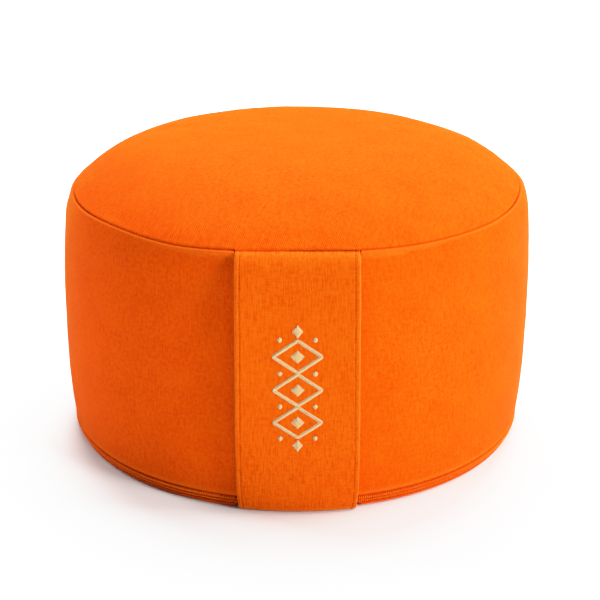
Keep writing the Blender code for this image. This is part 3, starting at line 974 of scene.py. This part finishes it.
def make_filled_cover(material):
    """Top panel, side band and base panel of one cover, round a firm filling."""
    rows = cover_rows()
    swell = swell_of_filling()
    bm = bmesh.new()
    bm.loops.layers.uv.new("cloth")
    marks, sewn = [], []

    def finished(row, column):
        angle = float(np.interp(column, range(SEGMENTS + 1), ANGLES))
        radius, height, place = slide_over_shoulder(row, angle)
        point = cover_point(angle, radius, height)
        out = Vector((point.x, point.y, 0.0)).normalized()
        if row.panel == "crown" or place > 0.0:
            upwards = (out * crown_slope(radius) + UP).normalized()
            out = out.lerp(upwards, 1.0 if row.panel == "crown" else smoothstep(place / 2.0)).normalized()
        loose = 0.0
        if row.panel != "base" and row.height > LIP_HEIGHT:
            loose = smoothstep((row.height - LIP_HEIGHT) / LOOSE_FROM_BASE)
            loose *= smoothstep(row.from_seam / LOOSE_FROM_SEAM)
            if row.panel != "crown" and point.y < 0.0:
                loose *= 1.0 - behind_strap(point.x, 4.0, LOOSE_FROM_STRAP)
            lump = noise.noise(point / LUMP_SIZE) + 0.5 * noise.noise(point / (LUMP_SIZE * 0.45))
            if swell:
                point = point.lerp(filled_place(point, swell), loose)
            point += out * LUMP_RISE * lump * loose
        if row.panel == "band":
            past_seam = min(1.0, (place + row.from_seam) / 3.0)
            point -= out * SHOULDER_ROUNDING * hump(place, 2.5) * past_seam
        point = lower_seam(row, angle, point + out * cloth_relief(row, angle, point))
        point = ease_front(angle, radius, height, point)
        point = press_for_tail(lift_base_edge(row, tuck_under_strap(row, point)))
        # Painted lighter on the seam's fold, the allowance's ridge and the lip: worn, and partly a painted
        # highlight where they catch the light.
        fold = SEAM_FOLD_WEAR_AND_HIGHLIGHT.get(row.panel, 0.0) * hump(row.from_seam - 1.3, 0.6)
        fold = max(fold, ALLOWANCE_WEAR_AND_HIGHLIGHT * over_allowance(row, point))
        if row.panel == "band":
            fold += LIP_WEAR_AND_HIGHLIGHT * hump(row.height - BAND_BOTTOM - 0.8, 1.3)
        marks.append(fold)
        # The sewn crease is painted darker: its thread and needle holes, and partly painted shade of the
        # crease.
        strapped = behind_strap(point.x, SLOT_ROOM, SLOT_CALM) if point.y < 0.0 else 0.0
        sewn.append(CREASE_THREAD_AND_SHADE * hump(row.from_seam, 0.6) * (1.0 - strapped))
        return bm.verts.new(point * MM)

    def crown_row(radius):
        return Row(radius, crown_height(radius), "crown", FAR_FROM_SEAM)

    def disc(ring, row_at, flip):
        count = SEGMENTS // 4
        grid = {}
        for i, j, share, column in disc_rows(count):
            rim = i in (0, count) or j in (0, count)
            grid[i, j] = ring[round(column) % SEGMENTS] if rim else finished(row_at(share), column)
        for j in range(count):
            for i in range(count):
                corners = [grid[i, j], grid[i + 1, j], grid[i + 1, j + 1], grid[i, j + 1]]
                corners = corners[::-1] if flip else corners
                add_face(bm, corners, [panel_uv(v.co) for v in corners])

    rings = [[finished(row, i) for i in range(SEGMENTS)] for row in rows]
    for k, i, corners in between_rings(rings):
        if {"lip", "band"} & {rows[k].panel, rows[k + 1].panel}:
            left, right = ((ANGLES[n] - FRONT) * WIDEST_RADIUS * MM for n in (i, i + 1))
            low, high = (row.height * MM for row in rows[k : k + 2])
            uvs = [(left, low), (right, low), (right, high), (left, high)]
        else:
            uvs = [panel_uv(v.co) for v in corners]
        add_face(bm, corners, uvs)
    disc(rings[0], lambda share: Row(BASE_DISC * share, 0.0, "base", FAR_FROM_SEAM), True)
    disc(rings[-1], lambda share: crown_row(CROWN_DISC * share), False)
    return smooth_piece(bm, "filled_cover", material, fold=marks, sewn=sewn)


# ---- Geometry Nodes: what repeats along a path ----
def new_tree(name, inputs):
    """A Geometry Nodes tree with a path and these inputs, by kind of socket, and what adds nodes to it."""
    tree = bpy.data.node_groups.new(name, "GeometryNodeTree")
    for kind, labels in {"Geometry": ["Path"], **inputs}.items():
        for label in labels:
            tree.interface.new_socket(label, in_out="INPUT", socket_type="NodeSocket" + kind)
    tree.interface.new_socket("Geometry", in_out="OUTPUT", socket_type="NodeSocketGeometry")
    add = partial(add_node, tree)
    return tree, add, add("GroupInput").outputs


def finish_tree(add, real, material):
    smooth = add("SetShadeSmooth", {"Geometry": real})
    named = add("SetMaterial", {"Geometry": smooth, "Material": material})
    add("GroupOutput", {"Geometry": named})


def along_path(add, given, spacing):
    curve = add("MeshToCurve", {"Mesh": given["Path"]})
    return add("CurveToPoints", {"Curve": curve, "Length": given[spacing]}, mode="LENGTH")


def facing_along(add, points, axis):
    """Turns each instance so that this axis of it lies along the path and its Z stays up."""
    tangent = points.outputs["Tangent"]
    return add("AlignRotationToVector", {"Vector": tangent}, axis=axis, pivot_axis="Z")


def bowed(add, points, size, radius):
    """One bowed piece of thread or wire, with closed ends: its points on a unit scale, then sized."""
    start, middle, end = points
    bow = add("CurveQuadraticBezier", {"Resolution": 6, "Start": start, "Middle": middle, "End": end})
    sized = add("Transform", {"Geometry": bow, "Scale": size})
    ring = add("CurvePrimitiveCircle", {"Resolution": 6, "Radius": radius})
    return add("CurveToMesh", {"Curve": sized, "Profile Curve": ring, "Fill Caps": True})


def stitch_tree():
    """Rows of stitches: each one an arched piece of thread that dives into the cloth at both ends."""
    sizes = ["Pitch", "Half length", "Radius", "Dive", "Least size"]
    inputs = {"Float": sizes, "Int": ["Seed"], "Material": ["Thread"]}
    tree, add, given = new_tree("rows_of_stitches", inputs)
    points = along_path(add, given, "Pitch")
    arch = ((-1.0, 0.0, -1.0), (0.0, 0.0, 1.0), (1.0, 0.0, -1.0))
    reach = add("CombineXYZ", {"X": given["Half length"], "Y": 1.0, "Z": given["Dive"]})
    thread = bowed(add, arch, reach, given["Radius"])
    facing = facing_along(add, points, "X")
    size = add("RandomValue", {2: given["Least size"], 3: 1.0, "Seed": given["Seed"]}, data_type="FLOAT")
    placed = {"Points": points, "Instance": thread, "Rotation": facing, "Scale": size.outputs[1]}
    stitches = add("InstanceOnPoints", placed)
    finish_tree(add, add("RealizeInstances", {"Geometry": stitches}), given["Thread"])
    return tree


def satin_tree():
    """Satin stitch: threads laid side by side across a stroke, as wide as the path's half_width says."""
    inputs = {"Float": ["Spacing", "Radius", "Rise"], "Int": ["Seed"], "Material": ["Thread"]}
    tree, add, given = new_tree("satin_stitch", inputs)
    points = along_path(add, given, "Spacing")
    # The unit thread lies across X from -1 to 1; a stroke's half width then scales it.
    ends = {"Start": (-1.0, 0.0, -0.1), "Middle": (0.0, 0.0, 2.0), "End": (1.0, 0.0, -0.1)}
    bow = add("CurveQuadraticBezier", {"Resolution": 6, **ends})
    ring = add("CurvePrimitiveCircle", {"Resolution": 5, "Radius": given["Radius"]})
    width = add("InputNamedAttribute", {"Name": "half_width"}, data_type="FLOAT")
    facing = facing_along(add, points, "Y")
    jitter = add("RandomValue", {2: 0.86, 3: 1.06, "Seed": given["Seed"]}, data_type="FLOAT")
    reach = add("Math", {0: width, 1: jitter.outputs[1]}, operation="MULTIPLY")
    scale = add("CombineXYZ", {"X": reach, "Y": 1.0, "Z": given["Rise"]})
    placed = {"Points": points, "Instance": bow, "Rotation": facing, "Scale": scale}
    real = add("RealizeInstances", {"Geometry": add("InstanceOnPoints", placed)})
    threads = add("CurveToMesh", {"Curve": real, "Profile Curve": ring, "Fill Caps": True})
    finish_tree(add, threads, given["Thread"])
    return tree


def coil_tree():
    """One row of a coil zip: bowed turns of monofilament, side by side round a circle."""
    sizes = ["Crest radius", "Level", "Half height", "Inset", "Wire radius", "Slant"]
    tree, add, given = new_tree("row_of_coil", {"Float": sizes, "Int": ["Turns"], "Material": ["Coil"]})
    turns = given["Turns"]
    circle = add("CurvePrimitiveCircle", {"Resolution": turns, "Radius": given["Crest radius"]})
    points = add("CurveToPoints", {"Curve": circle, "Count": turns}, mode="COUNT")
    # A point of the circle faces along X; its Y then points to the circle's middle.
    arch = ((0.0, 1.0, -1.0), (0.0, -1.0, 0.0), (0.0, 1.0, 1.0))
    reach = add("CombineXYZ", {"X": 1.0, "Y": given["Inset"], "Z": given["Half height"]})
    turn = bowed(add, arch, reach, given["Wire radius"])
    facing = facing_along(add, points, "X")
    slanted = add("CombineXYZ", {"Y": given["Slant"]})
    turned = add("RotateRotation", {0: facing, 1: slanted}, rotation_space="LOCAL")
    row = add("InstanceOnPoints", {"Points": points, "Instance": turn, "Rotation": turned})
    lifted = add("Transform", {"Geometry": row, "Translation": add("CombineXYZ", {"Z": given["Level"]})})
    finish_tree(add, add("RealizeInstances", {"Geometry": lifted}), given["Coil"])
    return tree


def grown(tree, path, values):
    """The plain mesh that a tree makes on a path mesh, with the tree's inputs set by their identifiers."""
    guide = into_scene("guide", path)
    modifier = guide.modifiers.new(tree.name, "NODES")
    modifier.node_group = tree
    for item in tree.interface.items_tree:
        if item.item_type == "SOCKET" and item.in_out == "INPUT" and item.name in values:
            modifier[item.identifier] = values[item.name]
    mesh = bpy.data.meshes.new_from_object(evaluated(guide))
    bpy.data.objects.remove(guide)
    return mesh


def path_mesh(paths, half_widths=()):
    """A mesh of open paths, given as lists of points, with the half width of each point."""
    edges, start = [], 0
    for path in paths:
        edges += [(start + i, start + i + 1) for i in range(len(path) - 1)]
        start += len(path)
    mesh = bpy.data.meshes.new("path")
    mesh.from_pydata([point for path in paths for point in path], edges, [])
    if half_widths:
        widths = mesh.attributes.new("half_width", "FLOAT", "POINT")
        widths.data.foreach_set("value", np.array([w for row in half_widths for w in row], np.float32))
    return mesh


def wrap_on_strap(mesh):
    """Carries a mesh that was laid out flat (mm) onto the strap's face, in metres."""
    flat = np.zeros(len(mesh.vertices) * 3, np.float32)
    mesh.vertices.foreach_get("co", flat)
    mesh.vertices.foreach_set("co", (on_strap(flat.reshape(-1, 3)) * MM).astype(np.float32).ravel())
    mesh.flip_normals()  # the strap's face is a mirror image of the flat layout
    mesh.update()
    return mesh


# ---- Stitching on the strap ----
def make_strap_topstitching(material):
    """Lockstitch along both side edges of the strap, and two rows across its sewn end."""
    level = strap_half_thickness(STITCH_INSET) + THREAD_RISE
    alongs = [STITCHED_FROM] + evenly(STITCHED_FROM, STRAP_LENGTH - STITCHED_SHORT, 4.0)
    paths = []
    for side in (-1.0, 1.0):
        paths.append([(side * (strap_half_width(a) - STITCH_INSET), a, level) for a in alongs])
    for row in TAIL_STITCH_ROWS:
        along = STRAP_LENGTH - row
        half = strap_half_width(along) - STITCH_INSET - 1.5
        paths.append([(x, along, STRAP_MIDDLE) for x in [-half] + evenly(-half, half, 5.0)])
    values = {
        "Pitch": STITCH_PITCH,
        "Half length": STITCH_LENGTH / 2,
        "Radius": THREAD_THICKNESS / 2,
        "Dive": 0.22,
        "Least size": 0.88,
        "Seed": 4,
        "Thread": material,
    }
    mesh = wrap_on_strap(grown(stitch_tree(), path_mesh(paths), values))
    return new_object("strap_topstitching", mesh, material)


def solid_lozenge(x, y, width, height):
    """A satin-filled lozenge: one upright path, widest in its middle."""
    shares = [-0.96, -0.5, 0.0, 0.5, 0.96]
    path = [(x, y + s * height / 2) for s in shares]
    return path, [max(0.15, (1.0 - abs(s)) * width / 2) for s in shares]


def dot(x, y):
    steps = [math.cos(math.radians(a)) for a in range(180, -1, -30)]
    path = [(x, y + s * DOT_SIZE / 2) for s in steps]
    return path, [max(0.2, math.sqrt(1.0 - s * s) * DOT_SIZE / 2) for s in steps]


def bar(x0, y0, x1, y1):
    """One side of an open lozenge, with narrowed ends that meet the next side."""
    path = [(x0 + (x1 - x0) * s, y0 + (y1 - y0) * s) for s in (0.0, 0.06, 0.94, 1.0)]
    return path, [LOZENGE_STROKE * k for k in (0.30, 0.5, 0.5, 0.30)]


def ornament_strokes():
    strokes = []
    half_width, half_height = LOZENGE_WIDTH / 2, LOZENGE_HEIGHT / 2
    first = ORNAMENT_FROM_TOP - (LOZENGES - 1) * half_height
    for i in range(LOZENGES):
        y = first + i * LOZENGE_HEIGHT
        for dx, dy in ((-1, -1), (1, -1), (1, 1), (-1, 1)):
            strokes.append(bar(dx * half_width, y, 0.0, y + dy * (half_height - 0.5)))
        strokes.append(solid_lozenge(0.0, y, HEART_WIDTH, HEART_HEIGHT))
    for i in range(LOZENGES + 1):
        y = first + (i - 0.5) * LOZENGE_HEIGHT
        strokes += [dot(side * half_width * 0.72, y) for side in (-1.0, 1.0)]
    for end in (-1.0, 1.0):
        y = ORNAMENT_FROM_TOP + end * (LOZENGES * half_height + 5.2)
        strokes.append(solid_lozenge(0.0, y, HEART_WIDTH * 0.8, HEART_HEIGHT))
    return strokes


def make_strap_ornament(material):
    """Satin stitch in cream rayon, over the middle of the strap."""
    paths, widths = zip(*ornament_strokes())
    level = STRAP_MIDDLE + 0.05
    paths = [[(x, y, level) for x, y in path] for path in paths]
    values = {
        "Spacing": SATIN_SPACING,
        "Radius": SATIN_THREAD / 2,
        "Rise": 0.55,
        "Seed": 9,
        "Thread": material,
    }
    mesh = wrap_on_strap(grown(satin_tree(), path_mesh(paths, widths), values))
    return new_object("strap_ornament", mesh, material)


# ---- Zip ----
def make_zip_coil(material):
    """Two rows of coil, the upper one a little further out, side by side round the cushion."""
    low = BASE_EDGE_HEIGHT + PIECE_GAP
    height = COIL_ROW_HEIGHT - COIL_ROW_GAP
    both = bmesh.new()
    tree = coil_tree()
    rows = ((COIL_LOWER_CREST, low, -COIL_SLANT), (COIL_UPPER_CREST, low + COIL_ROW_HEIGHT, COIL_SLANT))
    for crest, bottom, slant in rows:
        values = {
            "Crest radius": (crest - COIL_WIRE / 2) * MM,
            "Level": (bottom + height / 2) * MM,
            "Half height": (height - COIL_WIRE) / 2 * MM,
            "Inset": (COIL_DEPTH - COIL_WIRE / 2) * MM,
            "Wire radius": COIL_WIRE / 2 * MM,
            "Slant": slant,
            "Turns": round(math.tau * crest / COIL_PITCH),
            "Coil": material,
        }
        both.from_mesh(grown(tree, path_mesh([[(0, 0, 0), (MM, 0, 0)]]), values))
    return smooth_piece(both, "zip_coil", material)


def make_zip_tape(material):
    """The two woven tapes behind the coil, closed together, as one ring."""
    low = BASE_EDGE_HEIGHT + PIECE_GAP
    step = low + COIL_ROW_HEIGHT
    high = step + COIL_ROW_HEIGHT
    upper, lower = COIL_UPPER_CREST - COIL_DEPTH, COIL_LOWER_CREST - COIL_DEPTH
    section = [
        (TAPE_INNER_RADIUS, low),
        (lower - 0.3, low),
        (lower, low + 0.3),
        (lower, step - COIL_ROW_GAP - 0.2),
        (lower - 1.4, step - 0.7 * COIL_ROW_GAP),
        (upper - 1.6, step),
        (upper - 0.2, step + 0.35),
        (upper, high - 0.3),
        (upper - 0.3, high),
        (TAPE_INNER_RADIUS, high),
        (TAPE_INNER_RADIUS, low),
    ]
    columns = 256
    bm = bmesh.new()
    bm.loops.layers.uv.new("cloth")
    rings = [
        [bm.verts.new(Vector((r * math.cos(a), r * math.sin(a), h)) * MM) for a in round_turn(columns)]
        for r, h in section[:-1]
    ]
    across = np.concatenate([[0.0], np.cumsum(np.hypot(*np.diff(section, axis=0).T))]) * MM
    for k, i, corners in between_rings(rings + rings[:1]):
        left, right = (math.tau * n / columns * ZIP_SEAT_RADIUS * MM for n in (i, i + 1))
        near, far = across[k : k + 2]
        add_face(bm, corners, [(left, near), (right, near), (right, far), (left, far)])
    bmesh.ops.recalc_face_normals(bm, faces=bm.faces[:])
    return smooth_piece(bm, "zip_tape", material)


# ---- Studio ----
def make_camera():
    lens = bpy.data.cameras.new("camera")
    lens.sensor_width = SENSOR_WIDTH
    lens.lens = CAMERA_FOCUS_PX / PICTURE_PX * SENSOR_WIDTH
    lens.clip_start = 0.05
    lens.clip_end = 60.0
    camera = into_scene("camera", lens)
    camera.location = Vector(CAMERA_PLACE) * MM
    camera.rotation_euler = (CAMERA_PITCH, 0.0, 0.0)
    bpy.context.scene.camera = camera


def make_floor():
    bm = bmesh.new()
    bmesh.ops.create_grid(bm, x_segments=4, y_segments=4, size=8.0)
    smooth_piece(bm, "studio_floor", studio_floor("matt_white_sweep"))


def add_soft_light(name, azimuth, elevation, size_m, watts):
    """A round soft box that faces the cushion. Azimuth is in degrees from the front, to the right."""
    box = bpy.data.lights.new(name, "AREA")
    box.shape = "DISK"
    box.size = size_m
    box.energy = watts
    turn, tilt = math.radians(azimuth), math.radians(elevation)
    flat = math.cos(tilt)
    towards = Vector((flat * math.sin(turn), -flat * math.cos(turn), math.sin(tilt)))
    light = into_scene(name, box)
    light.location = AIM + towards * BOX_DISTANCE
    light.rotation_euler = (AIM - light.location).to_track_quat("-Z", "Y").to_euler()


def make_lights():
    """A large soft key from the right and above, and an even white surround."""
    for name, settings in SOFT_BOXES.items():
        add_soft_light(name, *settings)
    world = bpy.data.worlds.new("white_surround")
    world.use_nodes = True
    surround = {"Color": linear("#FFFFFF"), "Strength": SURROUND}
    connect(world.node_tree.nodes["Background"], surround)
    bpy.context.scene.world = world
    view = bpy.context.scene.view_settings
    view.view_transform = "Standard"
    view.use_curve_mapping = True
    tone = view.curve_mapping
    tone.white_level = (TONE_WHITE, TONE_WHITE, TONE_WHITE)
    curve = tone.curves[3]
    for scene_light, shown in TONE_CURVE[1:-1]:
        curve.points.new(scene_light / TONE_WHITE, shown)
    for point in curve.points[:2]:
        point.handle_type = "VECTOR"
    tone.update()


# ---- The object ----
def main():
    make_camera()
    make_lights()
    make_floor()

    cover_cloth = cotton_twill("brushed_cotton_twill", *COVER_TWILL)
    strap_cloth = cotton_twill("pressed_cotton_twill", *STRAP_TWILL)
    seam_thread = spun_thread("spun_polyester_thread", "#C24C02", "#963200", 0.8, 0.02, 0.0)
    cream_thread = spun_thread("trilobal_rayon_thread", "#E6C793", "#B78F55", 0.38, 0.4, 0.05)

    cover = place(make_filled_cover(cover_cloth), "cover_cloth", "cushion_body")

    stitches = place(make_strap_topstitching(seam_thread), "strap_cloth")
    ornament = place(make_strap_ornament(cream_thread), "strap_cloth")
    band = place(make_carry_band(strap_cloth), "strap_cloth", "carry_strap")

    place(make_zip_coil(polyester_coil("drawn_polyester_coil")), "zip_coil", "base_zip")
    place(make_zip_tape(woven_tape("woven_polyester_tape")), "zip_coil")


main()
